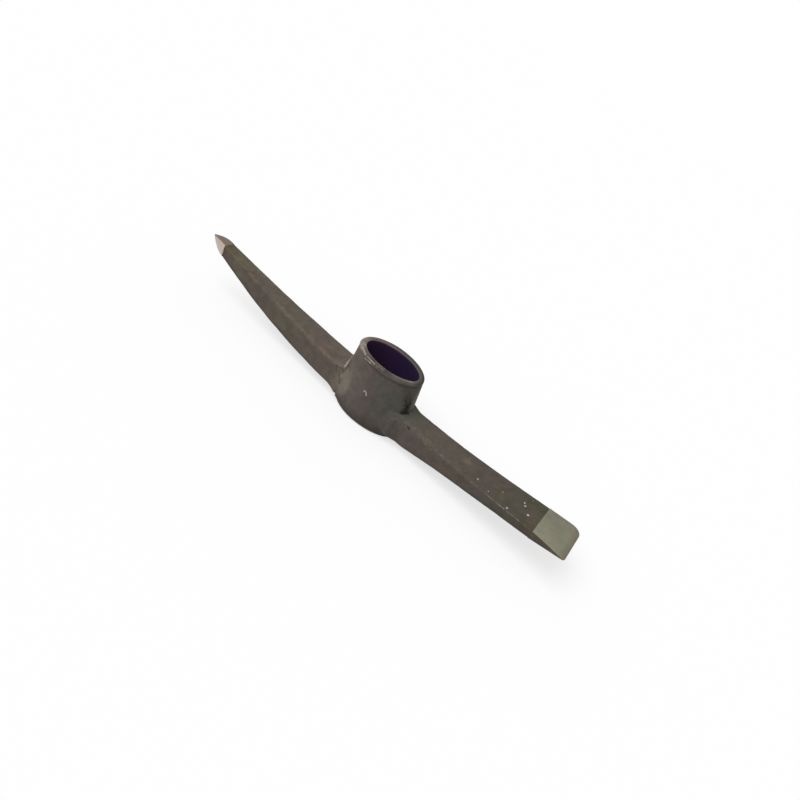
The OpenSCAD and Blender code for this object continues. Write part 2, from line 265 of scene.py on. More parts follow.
# Cloudy patches about 9 mm wide, and scale grain about 1.5 mm wide
patch = add(tree, "ShaderNodeTexNoise", {
    "Vector": place, "Scale": 1 / (9 * mm), "Detail": 3, "Roughness": 0.6}).outputs["Fac"]
patch = add(tree, "ShaderNodeValToRGB", {"Fac": patch}, [
    (0.36, (0.86, 0.86, 0.8, 1)), (0.5, grey(1.0)), (0.64, (1.12, 1.09, 1.06, 1))]).outputs["Color"]
coat = add(tree, "ShaderNodeMixRGB", {
    "Fac": 1, "Color1": coat, "Color2": patch}, blend_type="MULTIPLY").outputs["Color"]
grain = add(tree, "ShaderNodeTexNoise", {
    "Vector": place, "Scale": 1 / (1.5 * mm), "Detail": 3, "Roughness": 0.65}).outputs["Fac"]
grain_tone = add(tree, "ShaderNodeValToRGB", {"Fac": grain}, [
    (0.3, grey(0.88)), (0.5, grey(1.0)), (0.72, grey(1.12))]).outputs["Color"]
coat = add(tree, "ShaderNodeMixRGB", {
    "Fac": 1, "Color1": coat, "Color2": grain_tone}, blend_type="MULTIPLY").outputs["Color"]
# Rubbed lacquer: flecks 2.5 mm wide along the worn edges, brown with rust or pale where bare, and
# pale with painted highlight on the lip's crest
worn = add(tree, "ShaderNodeAttribute", attribute_name="worn").outputs["Fac"]
fleck = add(tree, "ShaderNodeTexNoise", {
    "Vector": place, "Scale": 1 / (2.5 * mm), "Detail": 4, "Roughness": 0.7}).outputs["Fac"]
rubbed = add(tree, "ShaderNodeMath", {0: worn, 1: fleck}, operation="MULTIPLY").outputs["Value"]
rusty = add(tree, "ShaderNodeValToRGB", {"Fac": rubbed}, [
    (0.41, grey(0)), (0.5, grey(0.8))]).outputs["Color"]
coat = add(tree, "ShaderNodeMixRGB", {
    "Fac": rusty, "Color1": coat, "Color2": linear("#7f6d57")}).outputs["Color"]
# Bare metal, and on the lip's crest a painted highlight
pale = add(tree, "ShaderNodeAttribute", attribute_name="pale").outputs["Fac"]
bare_and_highlight = add(tree, "ShaderNodeMath", {0: pale, 1: fleck}, operation="MULTIPLY").outputs["Value"]
bare_and_highlight = add(tree, "ShaderNodeValToRGB", {"Fac": bare_and_highlight}, [
    (0.24, grey(0)), (0.52, grey(1))]).outputs["Color"]
coat = add(tree, "ShaderNodeMixRGB", {
    "Fac": bare_and_highlight, "Color1": coat, "Color2": linear("#aba196")}).outputs["Color"]
# Black grit, and painted shade on the strip down the collar's chisel end
grime_and_shade = add(tree, "ShaderNodeAttribute", attribute_name="grime_and_shade").outputs["Fac"]
grit_and_shade = add(tree, "ShaderNodeMath", {0: grime_and_shade, 1: fleck}, operation="MULTIPLY").outputs["Value"]
dark_grit_and_shade = add(tree, "ShaderNodeValToRGB", {"Fac": grit_and_shade}, [
    (0.24, grey(0)), (0.46, grey(1))]).outputs["Color"]
coat = add(tree, "ShaderNodeMixRGB", {
    "Fac": dark_grit_and_shade, "Color1": coat, "Color2": linear("#17121b")}).outputs["Color"]
sheen = add(tree, "ShaderNodeMapRange", {
    "Value": mottle, "From Min": 0.3, "From Max": 0.7, "To Min": 0.6,
    "To Max": 0.76}).outputs["Result"]
height = add(tree, "ShaderNodeMixRGB", {
    "Fac": 0.45, "Color1": grain, "Color2": fleck}).outputs["Color"]
bump = add(tree, "ShaderNodeBump", {
    "Strength": 0.25, "Distance": 0.25 * mm, "Height": height}).outputs["Normal"]
shader = add(tree, "ShaderNodeBsdfPrincipled", {
    "Base Color": coat, "Roughness": sheen, "Specular IOR Level": 0.25, "Normal": bump})
add(tree, "ShaderNodeOutputMaterial", {"Surface": shader.outputs["BSDF"]})

# Inside the eye: an even, very dark blue-black that swallows most light
eye_inside, tree = start_finish("forged steel, blue-black inside the eye")
place = add(tree, "ShaderNodeTexCoord").outputs["Object"]
cloud = add(tree, "ShaderNodeTexNoise", {
    "Vector": place, "Scale": 1 / (14 * mm), "Detail": 5, "Roughness": 0.6}).outputs["Fac"]
coat = add(tree, "ShaderNodeValToRGB", {"Fac": cloud}, [
    (0.35, linear("#281936")), (0.6, linear("#2b1e40")),
    (0.75, linear("#34213e"))]).outputs["Color"]
# Painted light: lighter towards the pick end, deep in the eye where shade falls
along = add(tree, "ShaderNodeSeparateXYZ", {"Vector": place}).outputs["X"]
pick_end_painted_light = add(tree, "ShaderNodeMapRange", {
    "Value": along, "From Min": 5 * mm, "From Max": -30 * mm, "To Max": 0.6}).outputs["Result"]
coat = add(tree, "ShaderNodeMixRGB", {
    "Fac": pick_end_painted_light, "Color1": coat, "Color2": linear("#442a4e")}).outputs["Color"]
fine = add(tree, "ShaderNodeTexNoise", {
    "Vector": place, "Scale": 1 / (1.2 * mm), "Detail": 2}).outputs["Fac"]
bump = add(tree, "ShaderNodeBump", {
    "Strength": 0.3, "Distance": 0.3 * mm, "Height": fine}).outputs["Normal"]
shader = add(tree, "ShaderNodeBsdfPrincipled", {
    "Base Color": coat, "Roughness": 0.7, "Specular IOR Level": 0.2, "Normal": bump})
add(tree, "ShaderNodeOutputMaterial", {"Surface": shader.outputs["BSDF"]})

socket.data.materials.append(lacquer)
socket.data.materials.append(eye_inside)
bpy.ops.object.mode_set(mode="EDIT")
choose("faces", lambda p: (p.x / 35.3) ** 2 + (p.y / 22.8) ** 2 < 1 and 0.4 < p.z < 73.9)
socket.active_material_index = 1
bpy.ops.object.material_slot_assign()
bpy.ops.object.mode_set(mode="OBJECT")


def off_path(p, path):
    """How far a point lies from a path of points, in mm."""
    nearest = 1000
    for start, end in zip(path, path[1:]):
        start, run = Vector(start), Vector(end) - Vector(start)
        share = min(1, max(0, (p - start).dot(run) / run.dot(run)))
        nearest = min(nearest, (p - start - share * run).length)
    return nearest


# Pale streaks on the lip, rubbed bare and partly painted highlight on its crest, with how strongly
# each shows, and an arched nick in the near cheek
lip_streaks_and_highlights = [
    (1.0, [(-30.3, -17.2, 74.4), (-25.9, -20.4, 74.4), (-20.6, -23.9, 73.9)]),
    (0.86, [(-17.3, -24.6, 74.4), (-12.6, -25.8, 74.5), (-6.3, -27.2, 74.4)]),
    (0.9, [(-19.8, -24.5, 70.3), (-14.2, -26.9, 72), (-9.3, -27.9, 72.6)]),
    (0.62, [(19.5, -18.2, 74.6), (22.5, -17.1, 74.8), (25.5, -15.2, 74.8)]),
    (0.78, [(25.5, -15.2, 74.8), (29, -12.6, 74.8), (32.4, -9.8, 74.9)]),
]
nick = [(-1.8, -28.6, 40.6), (-0.8, -28.6, 42), (1, -28.6, 41.8), (1.7, -28.6, 40.2),
        (2.6, -28.5, 38.4)]


def socket_pale(p):
    """Bare metal and painted highlight in the streaks and on the lip's pick end; bare metal in the
    nick.
    """
    if p.z > 69:
        streaks = max(bare_and_highlight * (1 - ease(off_path(p, path), 0.2, 1.3)) for bare_and_highlight, path in lip_streaks_and_highlights)
        return max(streaks, 0.66 * ease(-p.x, 22, 30) * ease(-p.y, 2, 10) * ease(p.z, 71, 73))
    near_cheek = 35 < p.z < 46 and p.y < -20 and abs(p.x) < 6
    return 1.3 * (1 - ease(off_path(p, nick), 0.4, 1.15)) if near_cheek else 0


def off_eye(p):
    """0 at the inner edge of the lip, and about 1 where its top begins to roll over."""
    return ((p.x / 34.6) ** 2 + (p.y / 22.2) ** 2 - 1) / 0.2


def socket_tint_and_highlight(p):
    """Paler tint, partly a painted highlight: the lip is paler at the pick end, along its inner
    edge and on its right front. So are the wall at the chisel end and the cheek beside the pick
    weld."""
    if p.z > 71.5:
        pick_end_painted_light = 0.8 * ease(-p.x, 24, 35) * ease(6 - p.y, 0, 8)
        inner_edge = (0.45 * (1 - ease(off_eye(p), 0.1, 0.7)) * ease(p.z, 73, 74.2)
                      * ease(-p.y, 2, 8))
        right_front = (0.65 * (1 - ease(off_eye(p), 0.5, 1.3)) * ease(p.z, 73.8, 74.5)
                       * ease(p.x, 8, 18) * ease(-p.y, 0, 8))
        return max(pick_end_painted_light, inner_edge, right_front)
    if p.x > 30:
        return (0.5 * ease(p.x, 32, 38) * ease(p.y, -5, -1) * (1 - ease(p.y, 2, 12))
                * ease(p.z, 38, 44) * (1 - ease(p.z, 58, 70)))
    if p.y > -12 or inside_eye(p):
        return 0
    return 0.8 * (1 - ease(hypot((p.x + 28) * 0.9, (p.z - 28) * 0.5), 4, 10))


def socket_soil_and_shade(p):
    """Darkens the top of the lip, and paints shade into the groove under it, the upper strip and
    the belly.
    """
    if p.z > 73.4:
        return (0.58 * ease(p.x, -24, -12) * ease(off_eye(p), 0, 0.7)
                * (1 - ease(p.x, 8, 18) * ease(-p.y, 6, 12)))
    # Painted shade in the groove under the lip, down the upper strip and on the belly
    neck = ease(p.z, 68.2, 70.2) * ease(73 - p.z, 0, 1.4) * ease(-p.y, 0, 8) * ease(p.x, -20, -6)
    shade = 0.9 * strip_on_collar(p) * ease(p.z, 50, 58)
    return max(0.45 * neck, shade, 0.72 * ease(17 - p.z, 0, 16))


mark(socket, "pale", socket_pale)
mark(socket, "worn", lambda p: (
    0.9 * ease(p.z, 73, 74) * ease(p.x, -14, -6) * ease(12 - p.x, 0, 8) * ease(-p.y, 18, 23)))
# The rough strip is blackened with grit and with painted shade
mark(socket, "grime_and_shade", strip_on_collar)
mark(socket, "tint_and_highlight", socket_tint_and_highlight)
mark(socket, "soil_and_shade", socket_soil_and_shade)
bpy.ops.object.shade_smooth()
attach(socket, "root")
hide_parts("eye_socket")


# PICK ARM
# A bar forged from the socket out to the point, wide and deep at its root and slim at its end.
# Its corners are soft, and its root is coped to the socket's oval wall, where it is welded on.


def draw_out(sections):
    """Extrudes the selected end from section to section: place, width, top and bottom, in mm."""
    for (x0, w0, t0, b0), (x1, w1, t1, b1) in zip(sections, sections[1:]):
        rise = (t1 + b1 - t0 - b0) / 2
        bpy.ops.mesh.extrude_region_move(
            TRANSFORM_OT_translate={"value": ((x1 - x0) * mm, 0, rise * mm)})
        bpy.ops.transform.resize(
            value=(1, w1 / w0, (t1 - b1) / (t0 - b0)),
            center_override=(x1 * mm, 0, (t1 + b1) / 2 * mm))


def end_face(name, x, width, top, bottom, cells=1):
    """Starts a piece with an upright face at x that looks outwards, and leaves it in edit mode."""
    middle = (x * mm, 0, (top + bottom) / 2 * mm)
    clear_bench()
    bpy.ops.mesh.primitive_grid_add(
        x_subdivisions=cells, y_subdivisions=cells, size=mm, location=middle,
        rotation=(0, radians(90 if x > 0 else -90), 0))
    piece = bpy.context.object
    piece.name = name
    bpy.ops.object.transform_apply(location=True, rotation=True, scale=True)
    bpy.ops.object.mode_set(mode="EDIT")
    bpy.ops.transform.resize(value=(1, width, top - bottom), center_override=middle)
    return piece


def weigh_edges(piece, sharp, amount):
    """Says how strongly a later bevel acts on each edge along the piece that bends by more than
    sharp, in radians."""
    mesh = bmesh.from_edit_mesh(piece.data)
    weight = mesh.edges.layers.float.new("bevel_weight_edge")
    for edge in mesh.edges:
        run = edge.verts[0].co - edge.verts[1].co
        if edge.calc_face_angle(0) > sharp and abs(run.x) > 0.6 * run.length:
            edge[weight] = amount((edge.verts[0].co.x + edge.verts[1].co.x) / 2 / mm)
    bmesh.update_edit_mesh(piece.data)


def forge_bar(name, sections, corner_r):
    """Draws a bar out of its gridded root and rounds its four long corners."""
    bar = end_face(name, *sections[0], cells=4)
    draw_out(sections)
    bpy.ops.mesh.select_all(action="SELECT")
    bpy.ops.mesh.normals_make_consistent(inside=False)
    largest = max(corner_r(section[0]) for section in sections)
    weigh_edges(bar, sharp=1, amount=lambda x: corner_r(x) / largest)
    bpy.ops.object.mode_set(mode="OBJECT")
    finish_with(bar, "BEVEL", limit_method="WEIGHT", width=largest * mm, segments=3)
    finish_with(bar, "SUBSURF", levels=3, render_levels=3)
    return bar


# Each arm is seated on an oval a weld's thickness outside the socket's wall: its half width, in mm.
# Tubes of this many steps, with this height and middle in mm, stand in for such ovals
seat_side = 31.25
oval_steps, oval_h, oval_mid = 192, 120, 37


def flare_root(bar, seat, reach, spread, top_share, bottom_share, top, bottom):
    """Swells the root towards its seat in a hollow curve of that reach, less on top and below."""
    def amount(p):
        beyond = abs(p.x) - seat * sqrt(max(0, 1 - (p.y / seat_side) ** 2))
        near = max(0, 1 - max(0, beyond) / reach)
        on_top, below = ease(p.z, top - 6, top - 1), ease(bottom + 6 - p.z, 0, 5)
        return near * near * (1 - (1 - top_share) * on_top - (1 - bottom_share) * below)
    weigh(bar, "flare", amount)
    finish_with(bar, "DISPLACE", strength=spread * mm, mid_level=0, vertex_group="flare")


def cut_out(bar, cutter):
    """Takes the shape of a cutter out of the bar, and the cutter off the bench."""
    finish_with(bar, "TRIANGULATE")
    finish_with(bar, "BOOLEAN", object=cutter, operation="DIFFERENCE", solver="MANIFOLD")
    bar.data.materials.clear()  # the cut leaves an empty slot
    bpy.data.objects.remove(cutter)


def cope(bar, seat):
    """Cuts the bar's root to the oval of the socket, with room for the weld."""
    clear_bench()
    bpy.ops.mesh.primitive_cylinder_add(
        vertices=oval_steps, radius=seat * mm, depth=oval_h * mm, location=(0, 0, oval_mid * mm),
        rotation=(0, 0, radians(360 / oval_steps / 2)))
    saw = bpy.context.object
    bpy.ops.object.transform_apply(location=True, rotation=True, scale=True)
    bpy.ops.transform.resize(value=(1, seat_side / seat, 1), center_override=(0, 0, 0))
    bpy.ops.object.transform_apply(location=True, rotation=True, scale=True)
    cut_out(bar, saw)


def trim(bar, x):
    """Saws the bar off square at its outer end."""
    clear_bench()
    bar.select_set(True)
    bpy.context.view_layer.objects.active = bar
    bpy.ops.object.mode_set(mode="EDIT")
    bpy.ops.mesh.select_all(action="SELECT")
    bpy.ops.mesh.bisect(
        plane_co=(x * mm, 0, 0), plane_no=(1 if x > 0 else -1, 0, 0),
        use_fill=True, clear_outer=True)
    bpy.ops.object.mode_set(mode="OBJECT")


def mortise(bar, x, z, width, height, depth):
    """Sinks a pocket into the sawn end of the bar, for the tang of its ground steel."""
    clear_bench()
    bpy.ops.mesh.primitive_cube_add(size=mm, location=(x * mm, 0, z * mm))
    cutter = bpy.context.object
    bpy.ops.transform.resize(value=(2 * depth, width, height), center_override=(x * mm, 0, z * mm))
    bpy.ops.object.transform_apply(location=True, rotation=True, scale=True)
    cut_out(bar, cutter)
    bar.select_set(True)


# In mm: the half length of the arm's seat, its width, top and bottom at the root, where its taper
# begins and ends, and the middle height of its end
pick_seat = 43.65
pick_root_w, pick_root_top, pick_root_bottom = 37, 37, 8
pick_root_x, pick_end_x, pick_end_z = -55.5, -241, 47.4


def pick_section(s):
    """Place, width, top and bottom of the taper, from 0 at its root to 1 at its end."""
    return (
        pick_root_x + (pick_end_x - pick_root_x) * s,
        pick_root_w - 21.6 * s,
        pick_root_top + 17.4 * s - 7.6 * s * (1 - s),
        pick_root_bottom + 32.4 * s - 24.8 * s * (1 - s),
    )


def pick_section_at(x):
    """The same for a place along the arm, in mm."""
    return pick_section((x - pick_root_x) / (pick_end_x - pick_root_x))


def pick_corner(x):
    """How round the long corners are at a place along the arm, in mm."""
    return 5 - 3.7 * ease(-x, 20, 250)


pick_stations = [(x, pick_root_w, pick_root_top, pick_root_bottom) for x in range(-18, -51, -4)]
pick_stations += [pick_section(step / 18) for step in range(20)]
pick_arm = forge_bar("pick_arm_forged", pick_stations, pick_corner)
flare_root(pick_arm, pick_seat, reach=18, spread=4, top_share=0.375, bottom_share=1,
           top=pick_root_top, bottom=pick_root_bottom)
weigh(pick_arm, "shaft", lambda p: ease(-p.x, 44, 66) * (1 - 0.8 * ease(-p.x, 225, 241)))
roughen(pick_arm, hammer_marks, 0.9, "shaft")
roughen(pick_arm, forge_scale, 0.16, "shaft")
cope(pick_arm, pick_seat)
trim(pick_arm, pick_end_x)
mortise(pick_arm, pick_end_x, pick_end_z, width=5.2, height=5.2, depth=14.1)


def ridge_wear(p, section, corner_r, spots, core, spread):
    """How rubbed the upper long corners are. Each spot gives its middle, half length and strength.
    The wear is full within the core and gone beyond the spread."""
    _, width, top, _ = section
    crest = 0.29 * corner_r  # how far inside the sharp corner the rounded one lies
    off = hypot(abs(p.y) - width / 2 + crest, p.z - top + crest)
    shift = 11 if p.y > 0 else 0  # so that the two sides aren't worn alike
    wear = 0
    for at, half, strength in spots:
        beyond = max(0, abs(p.x - at - shift) - half)
        wear = max(wear, strength * (1 - ease(hypot(beyond, off), core, spread)))
    return wear


# Rusty spots along both upper corners
pick_spots = [(-67, 6, 0.8), (-84, 3, 0.76), (-101, 3, 0.8), (-120, 8, 0.72), (-138, 9, 0.78),
              (-160, 4, 0.72), (-188, 7, 0.8)]
# Thin crevices beside the weld, over the near corner of the root and down its side, sunk in and
# darkened with painted shade: how dark each is, and where
crevices = [
    (0.7, [(-47.2, -17.6, 34.8), (-44.7, -18.2, 35), (-42, -17.9, 36), (-39.8, -17.8, 36.6)]),
    (0.8, [(-39.4, -17.8, 36.8), (-37.2, -19.3, 37.4), (-36.6, -20.2, 35.9)]),
    (0.4, [(-46.4, -18.3, 34.2), (-43.1, -19.7, 30.1)]),
    (0.45, [(-42.2, -18.3, 35.2), (-38.3, -21, 31.5), (-35.1, -22.5, 27.5), (-32.8, -22.5, 23)]),
]


def in_crevice(p):
    """How deep in a crevice a point lies."""
    if not (-50 < p.x < -30 and p.y < -14):
        return 0
    return max(dark * (1 - ease(off_path(p, path), 0.3, 1.7)) for dark, path in crevices)


weigh(pick_arm, "crevice", in_crevice)
finish_with(pick_arm, "DISPLACE", strength=-0.8 * mm, mid_level=0, vertex_group="crevice")
mark(pick_arm, "worn", lambda p: ridge_wear(
    p, pick_section_at(p.x), pick_corner(p.x), pick_spots, core=1.6, spread=6.5))
mark(pick_arm, "tint_and_highlight", socket_tint_and_highlight)
# Painted shade in the crevices, and darker towards the underside
mark(pick_arm, "soil_and_shade", lambda p: max(
    in_crevice(p), 0.4 * ease(pick_section_at(p.x)[3] + 6 - p.z, 0, 5)))
pick_arm.data.materials.append(lacquer)
bpy.ops.object.shade_smooth_by_angle(angle=radians(40))
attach(pick_arm, "root")
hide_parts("pick_arm")


# CHISEL ARM
# The bar on the other side, which flattens as it widens towards the bit. Its root swells into the
# collar in a soft hollow, its long edges are crisp near the bit, and a few specks of paint stick
# to it.

# In mm, as for the pick arm
chisel_seat = 47.4
chisel_root_w, chisel_root_top, chisel_root_bottom = 34.6, 36.4, 5
chisel_root_x, chisel_end_x, chisel_end_z = 59.25, 215, 35.55


def chisel_section(s):
    """Place, width, top and bottom of the taper, from 0 at its root to 1 at its end."""
    return (
        chisel_root_x + (chisel_end_x - chisel_root_x) * s,
        chisel_root_w + 14.4 * s,
        chisel_root_top + 4 * s - 10.4 * s * (1 - s),
        chisel_root_bottom + 25.7 * s + 6.4 * s * (1 - s),
    )


def chisel_section_at(x):
    """The same for a place along the arm, in mm."""
    return chisel_section((x - chisel_root_x) / (chisel_end_x - chisel_root_x))


def chisel_corner(x):
    """How round the long corners are at a place along the arm, in mm."""
    return 6 - 5.2 * ease(x, 75, 165)


chisel_stations = [
    (x, chisel_root_w, chisel_root_top, chisel_root_bottom) for x in range(18, 55, 4)]
chisel_stations += [chisel_section(step / 18) for step in range(20)]
chisel_arm = forge_bar("chisel_arm_forged", chisel_stations, chisel_corner)
flare_root(chisel_arm, chisel_seat, reach=12, spread=4.5, top_share=0.33, bottom_share=0,
           top=chisel_root_top, bottom=chisel_root_bottom)
weigh(chisel_arm, "shaft", lambda p: ease(p.x, 48, 70) * (1 - 0.8 * ease(p.x, 200, 215)))
roughen(chisel_arm, hammer_marks, 0.8, "shaft")
roughen(chisel_arm, forge_scale, 0.16, "shaft")
cope(chisel_arm, chisel_seat)
trim(chisel_arm, chisel_end_x)
mortise(chisel_arm, chisel_end_x, chisel_end_z, width=28.2, height=3.7, depth=16.1)

# Rusty spots on the soft corners near the root, and a thin bare line on the crisp ones
chisel_spots = [(68, 5, 0.72), (84, 7, 0.78), (106, 5, 0.74)]
chisel_line = [(141, 1, 0.9), (147, 1.5, 0.95), (153, 2, 0.95), (163, 6, 0.95), (176, 6, 0.85),
               (188, 4, 0.75), (197, 3, 0.6), (208, 4, 0.5)]
mark(chisel_arm, "worn", lambda p: ridge_wear(
    p, chisel_section_at(p.x), chisel_corner(p.x), chisel_spots, core=2.5, spread=9))
mark(chisel_arm, "pale", lambda p: ridge_wear(
    p, chisel_section_at(p.x), chisel_corner(p.x), chisel_line, core=0.2, spread=0.95))
# A cluster of dark specks on the near corner of the root: how dark each is, and where
root_specks = [
    (0.6, [(50, -16.6, 33), (51.2, -16.6, 32.8)]),
    (0.7, [(54, -15.9, 34), (54.6, -16.6, 32.9)]),
    (0.84, [(55.6, -16.4, 33.4), (57.4, -16.8, 32.5)]),
]


def root_grime(p):
    """How dark these specks make a point."""
    return max(dark * (1 - ease(off_path(p, speck), 0.4, 1.7)) for dark, speck in root_specks)


mark(chisel_arm, "grime_and_shade", root_grime)
# Darker towards the underside
mark(chisel_arm, "soil_and_shade", lambda p: 0.4 * ease(chisel_section_at(p.x)[3] + 6 - p.z, 0, 5))

# The same lacquer, with specks of dried paint and rust 1 to 2 mm wide on the top of the arm
speckled = lacquer.copy()
speckled.name = "forged steel, dark satin lacquer with paint specks"
tree = speckled.node_tree
body = next(node for node in tree.nodes if node.type == "BSDF_PRINCIPLED")
coat = body.inputs["Base Color"].links[0].from_socket
place = add(tree, "ShaderNodeTexCoord").outputs["Object"]
# Small swirls 3 mm wide keep the specks from being round
swirl = add(tree, "ShaderNodeTexNoise", {
    "Vector": place, "Scale": 1 / (3 * mm), "Detail": 3}).outputs["Color"]
swirl = add(tree, "ShaderNodeVectorMath", {
    0: swirl, 1: (2.4 * mm, 2.4 * mm, 0), 2: (-1.2 * mm, -1.2 * mm, 0)},
    operation="MULTIPLY_ADD").outputs["Vector"]
flat_place = add(tree, "ShaderNodeVectorMath", {
    0: place, 1: (1, 1, 0.2), 2: swirl}, operation="MULTIPLY_ADD").outputs["Vector"]
for x, y, z, radius, colour in [
        (143, -10.8, 36.1, 1.3, "#b9b6ab"), (158.6, -15.6, 36.7, 1.1, "#a8a59b"),
        (182.7, -18.6, 38, 1.3, "#c4c1b5"), (193, 5.9, 38.7, 1.3, "#c4c2b8"),
        (195.1, 2.2, 38.8, 1.2, "#b9b6ab"), (202.4, -7.4, 39.4, 1.5, "#cfccc2"),
        (197.8, 17.1, 39, 0.9, "#97948b"), (169.7, -1.9, 37.2, 1.6, "#5c8f6c"),
        (166.2, -5.8, 37.1, 2.4, "#60392f")]:
    reach = add(tree, "ShaderNodeVectorMath", {
        0: flat_place, 1: (x * mm, y * mm, 0.2 * z * mm)}, operation="DISTANCE").outputs["Value"]
    cover = add(tree, "ShaderNodeMapRange", {
        "Value": reach, "From Min": radius * mm, "From Max": 0.35 * radius * mm}).outputs["Result"]
    coat = add(tree, "ShaderNodeMixRGB", {
        "Fac": cover, "Color1": coat, "Color2": linear(colour)}).outputs["Color"]
# Olive smears 10 mm wide or so, torn at their edges by swirls 6 mm wide
swirl = add(tree, "ShaderNodeTexNoise", {
    "Vector": place, "Scale": 1 / (6 * mm), "Detail": 4}).outputs["Color"]
torn_place = add(tree, "ShaderNodeVectorMath", {
    0: swirl, 1: (14 * mm, 14 * mm, 0), 2: place}, operation="MULTIPLY_ADD").outputs["Vector"]
for x, y, z, radius, colour in [
        (123, 1, 35.2, 7.5, "#66614a"), (160, -2, 36.8, 5, "#575341"),
        (173, -10, 37.4, 5, "#57533f"), (203, 8, 39.4, 7, "#4f4c38")]:
    reach = add(tree, "ShaderNodeVectorMath", {
        0: torn_place, 1: ((x + 7) * mm, (y + 7) * mm, z * mm)},
        operation="DISTANCE").outputs["Value"]
    cover = add(tree, "ShaderNodeMapRange", {
        "Value": reach, "From Min": radius * mm, "From Max": 0.2 * radius * mm,
        "To Max": 0.8}).outputs["Result"]
    coat = add(tree, "ShaderNodeMixRGB", {
        "Fac": cover, "Color1": coat, "Color2": linear(colour)}).outputs["Color"]
tree.links.new(coat, body.inputs["Base Color"])

chisel_arm.data.materials.append(speckled)
bpy.ops.object.shade_smooth_by_angle(angle=radians(40))
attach(chisel_arm, "root")
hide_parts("chisel_arm")


# PICK POINT
# The hardened tip of the pick arm: a four-sided point ground bright on a wheel, with slightly
# bulging faces, and a square tang that is brazed into the arm.

# In mm: the point's width and half height at the arm, its tang's thickness and length, and the
# first step in from the point's sides to the tang
point_w, point_half_h = 15.4, 7
point_tang, point_tang_len, point_step = 5, 14, 4.6


def point_section(s):
    """Place, width, top and bottom of the point, from 0 at the arm to 1 at the tip."""
    middle_z, half_h = pick_end_z + 5.3 * s, point_half_h - 6.5 * s * s
    return (pick_end_x + (tip_x - pick_end_x) * s, point_w - 14.4 * s * s,
            middle_z + half_h, middle_z - half_h)


def point_softness(x):
    """The long edges are softest a third of the way out, and the tang has none to soften."""
    if x > pick_end_x - 0.1:
        return 0
    return 0.45 + 0.55 * ease(-x, 241, 249) - 0.7 * ease(-x, 252, 265)


point_sections = [point_section(step / 6) for step in range(7)]
point = end_face("pick_point_ground", *point_sections[0])
draw_out(point_sections)
choose("faces", lambda p: p.x > pick_end_x - 0.01)
bpy.ops.mesh.inset(thickness=point_step * mm)
bpy.ops.transform.resize(
    value=(1, point_tang / (point_w - 2 * point_step),
           point_tang / (2 * point_half_h - 2 * point_step)),
    center_override=(pick_end_x * mm, 0, pick_end_z * mm))
bpy.ops.mesh.extrude_region_move(TRANSFORM_OT_translate={"value": (point_tang_len * mm, 0, 0)})
bpy.ops.mesh.select_all(action="SELECT")
bpy.ops.mesh.normals_make_consistent(inside=False)
weigh_edges(point, sharp=0.7, amount=point_softness)
bpy.ops.object.mode_set(mode="OBJECT")
finish_with(point, "BEVEL", limit_method="WEIGHT", width=3 * mm, segments=6)
bpy.ops.object.shade_smooth_by_angle(angle=radians(25))


def ground_steel(name, upright_painted_colour, upper_painted_colour, end, stained):
    """Bare metal off the wheel, with painted light and shade by facing: one colour on the upright
    faces and another on the upper ones.
    The wheel marks are about 0.4 mm apart, drawn 0.8 mm apart so that they show at all.
    Use has stained the last 8 mm before the end of the point or the edge."""
    steel_off_wheel, tree = start_finish(name)
    spot = add(tree, "ShaderNodeTexCoord")
    facing = add(tree, "ShaderNodeSeparateXYZ", {"Vector": spot.outputs["Normal"]}).outputs["Z"]
    facing_painted_light = add(tree, "ShaderNodeMapRange", {
        "Value": facing, "From Min": 0.1, "From Max": 0.85}).outputs["Result"]
    steel = add(tree, "ShaderNodeMixRGB", {
        "Fac": facing_painted_light, "Color1": linear(upright_painted_colour), "Color2": linear(upper_painted_colour)}).outputs["Color"]
    cloud = add(tree, "ShaderNodeTexNoise", {
        "Vector": spot.outputs["Object"], "Scale": 1 / (9 * mm), "Detail": 4}).outputs["Fac"]
    cloud = add(tree, "ShaderNodeValToRGB", {"Fac": cloud}, [
        (0.35, grey(0.92)), (0.65, grey(1.05))]).outputs["Color"]
    steel = add(tree, "ShaderNodeMixRGB", {
        "Fac": 1, "Color1": steel, "Color2": cloud}, blend_type="MULTIPLY").outputs["Color"]
    marks = add(tree, "ShaderNodeMapping", {
        "Vector": spot.outputs["Object"],
        "Scale": (1 / (0.8 * mm), 1 / (14 * mm), 1 / (3 * mm))}).outputs["Vector"]
    marks = add(tree, "ShaderNodeTexNoise", {
        "Vector": marks, "Scale": 1, "Detail": 3, "Roughness": 0.6}).outputs["Fac"]
    tone = add(tree, "ShaderNodeValToRGB", {"Fac": marks}, [
        (0.3, grey(0.95)), (0.7, grey(1.04))]).outputs["Color"]
    steel = add(tree, "ShaderNodeMixRGB", {
        "Fac": 1, "Color1": steel, "Color2": tone}, blend_type="MULTIPLY").outputs["Color"]
    along = add(tree, "ShaderNodeSeparateXYZ", {"Vector": spot.outputs["Object"]}).outputs["X"]
    clean = end - 8 if end > 0 else end + 8
    stain = add(tree, "ShaderNodeMapRange", {
        "Value": along, "From Min": clean * mm, "From Max": end * mm,
        "To Max": 0.6}).outputs["Result"]
    steel = add(tree, "ShaderNodeMixRGB", {
        "Fac": stain, "Color1": steel, "Color2": linear(stained)}).outputs["Color"]
    bump = add(tree, "ShaderNodeBump", {
        "Strength": 0.15, "Distance": 0.05 * mm, "Height": marks}).outputs["Normal"]
    shader = add(tree, "ShaderNodeBsdfPrincipled", {
        "Base Color": steel, "Metallic": 1.0, "Roughness": 0.48, "Normal": bump})
    add(tree, "ShaderNodeOutputMaterial", {"Surface": shader.outputs["BSDF"]})
    return steel_off_wheel


